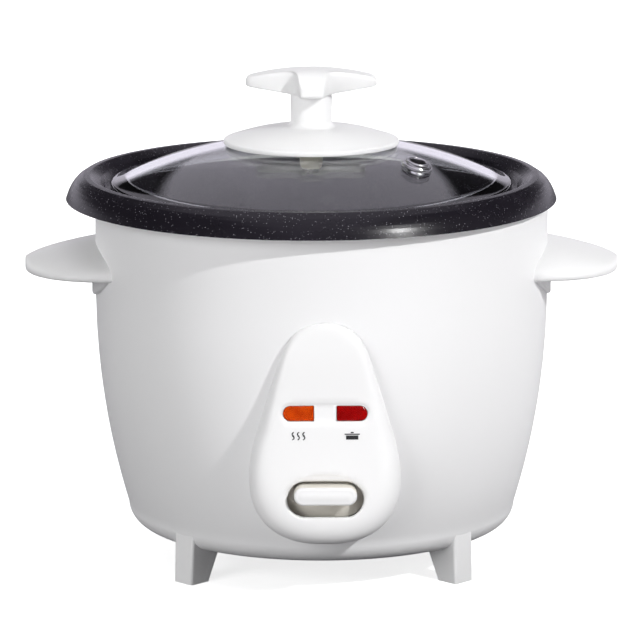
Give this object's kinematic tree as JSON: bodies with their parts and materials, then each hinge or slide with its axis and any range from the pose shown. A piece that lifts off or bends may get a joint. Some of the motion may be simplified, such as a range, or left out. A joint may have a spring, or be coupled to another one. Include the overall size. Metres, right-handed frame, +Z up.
{
  "type": "rice cooker",
  "caption": "Round white rice cooker: lift-out flared non-stick pot, glass lid with lobed knob, side handles, and an egg-shaped front panel with lamps and a cook lever.",
  "frame": {"origin": "centre of the footprint, on the plane that the feet stand on; the housing's axis is the Z axis", "axes": "+Z up; -Y towards the front with the control panel; +X to the right-hand handle as seen from the front"},
  "size_m": [0.2544, 0.216, 0.2108],
  "materials": {
    "white_enamel": "gloss",
    "aluminised_steel": "satin",
    "nonstick_aluminium": "satin, speckled non-stick coating",
    "clear_glass": "gloss",
    "stainless": "polished",
    "white_plastic": "gloss",
    "clear_silicone": "matte",
    "cream_plastic": "matte",
    "amber_lens": "gloss, prismatic",
    "red_lens": "gloss, prismatic",
    "lamp_glass": "gloss",
    "print_ink": "matte",
    "cast_aluminium": "satin",
    "element_sheath": "matte",
    "brass_tabs": "satin",
    "ferrite": "matte",
    "magnet_iron": "satin",
    "switch_plastic": "matte",
    "button_red": "satin",
    "ceramic_body": "matte",
    "black_plastic": "matte",
    "nickel_pins": "polished",
    "wire_sleeve": "matte",
    "zinc_steel": "satin"
  },
  "bodies": {
    "base": {"outer_housing": "white_enamel", "inner_liner": "aluminised_steel", "base_plate": "white_enamel", "foot_front_left": "white_plastic", "foot_front_right": "white_plastic", "foot_rear_left": "white_plastic", "foot_rear_right": "white_plastic", "foot_screws": "zinc_steel", "handle_left": "white_plastic", "handle_right": "white_plastic", "handle_screws": "zinc_steel", "control_panel": "white_plastic", "panel_screws": "zinc_steel", "warm_lens": "amber_lens", "cook_lens": "red_lens", "lamp_holder": "white_plastic", "neon_lamps": "lamp_glass", "warm_symbol": "print_ink", "cook_symbol": "print_ink", "heater_plate": "cast_aluminium", "heating_element": "element_sheath", "heater_screws": "zinc_steel", "heater_terminals": "brass_tabs", "thermostat_guide": "zinc_steel", "sensor_spring": "zinc_steel", "magnet_spring": "zinc_steel", "lever_bracket": "zinc_steel", "bracket_rivets": "zinc_steel", "lever_pin": "zinc_steel", "switch_body": "switch_plastic", "switch_contacts": "brass_tabs", "keep_warm_thermostat": "ceramic_body", "thermal_fuse": "stainless", "fuse_clamp": "zinc_steel", "inlet_socket": "black_plastic", "inlet_pins": "nickel_pins", "inlet_screws": "zinc_steel", "wiring": "wire_sleeve"},
    "pot": {"inner_pot": "nonstick_aluminium"},
    "lid": {"lid_glass": "clear_glass", "vent_grommet": "stainless", "knob_base": "white_plastic", "knob_grip": "white_plastic", "knob_gasket": "clear_silicone", "knob_nut": "cream_plastic", "knob_screw": "zinc_steel"},
    "lever": {"cook_lever": "zinc_steel", "lever_tab": "white_plastic"},
    "sensor": {"sensor_cap": "cast_aluminium", "sensor_ferrite": "ferrite"},
    "magnet_holder": {"magnet_cup": "zinc_steel", "magnet": "magnet_iron"},
    "switch_plunger": {"switch_button": "button_red"}
  },
  "joints": [
    {"name": "pot_lift", "type": "slide", "parent": "base", "child": "pot", "axis": [0, 0, 1], "range_m": [0, 0.13]},
    {"name": "lid_lift", "type": "slide", "parent": "pot", "child": "lid", "axis": [0, 0, 1], "range_m": [0, 0.08]},
    {"name": "lever_press", "type": "hinge", "parent": "base", "child": "lever", "pos_m": [0, -0.036, 0.03], "axis": [1, 0, 0], "range_deg": [0, 4.5], "stiffness_Nm_per_rad": 0.6, "springref_deg": -6.88},
    {"name": "sensor_press", "type": "slide", "parent": "base", "child": "sensor", "axis": [0, 0, 1], "range_m": [-0.002, 0], "stiffness_N_per_m": 900, "springref_m": 0.004, "deforming": ["sensor_spring"]},
    {"name": "magnet_rise", "type": "slide", "parent": "base", "child": "magnet_holder", "axis": [0, 0, 1], "range_m": [0, 0.0029], "deforming": ["magnet_spring"]},
    {"name": "switch_press", "type": "slide", "parent": "base", "child": "switch_plunger", "axis": [0, 0, 1], "range_m": [-0.00245, 0]}
  ],
  "couplings": [
    {"joint": "magnet_rise", "follows": "lever_press", "m_per_rad": 0.036},
    {"joint": "switch_press", "follows": "lever_press", "m_per_rad": -0.0306}
  ]
}
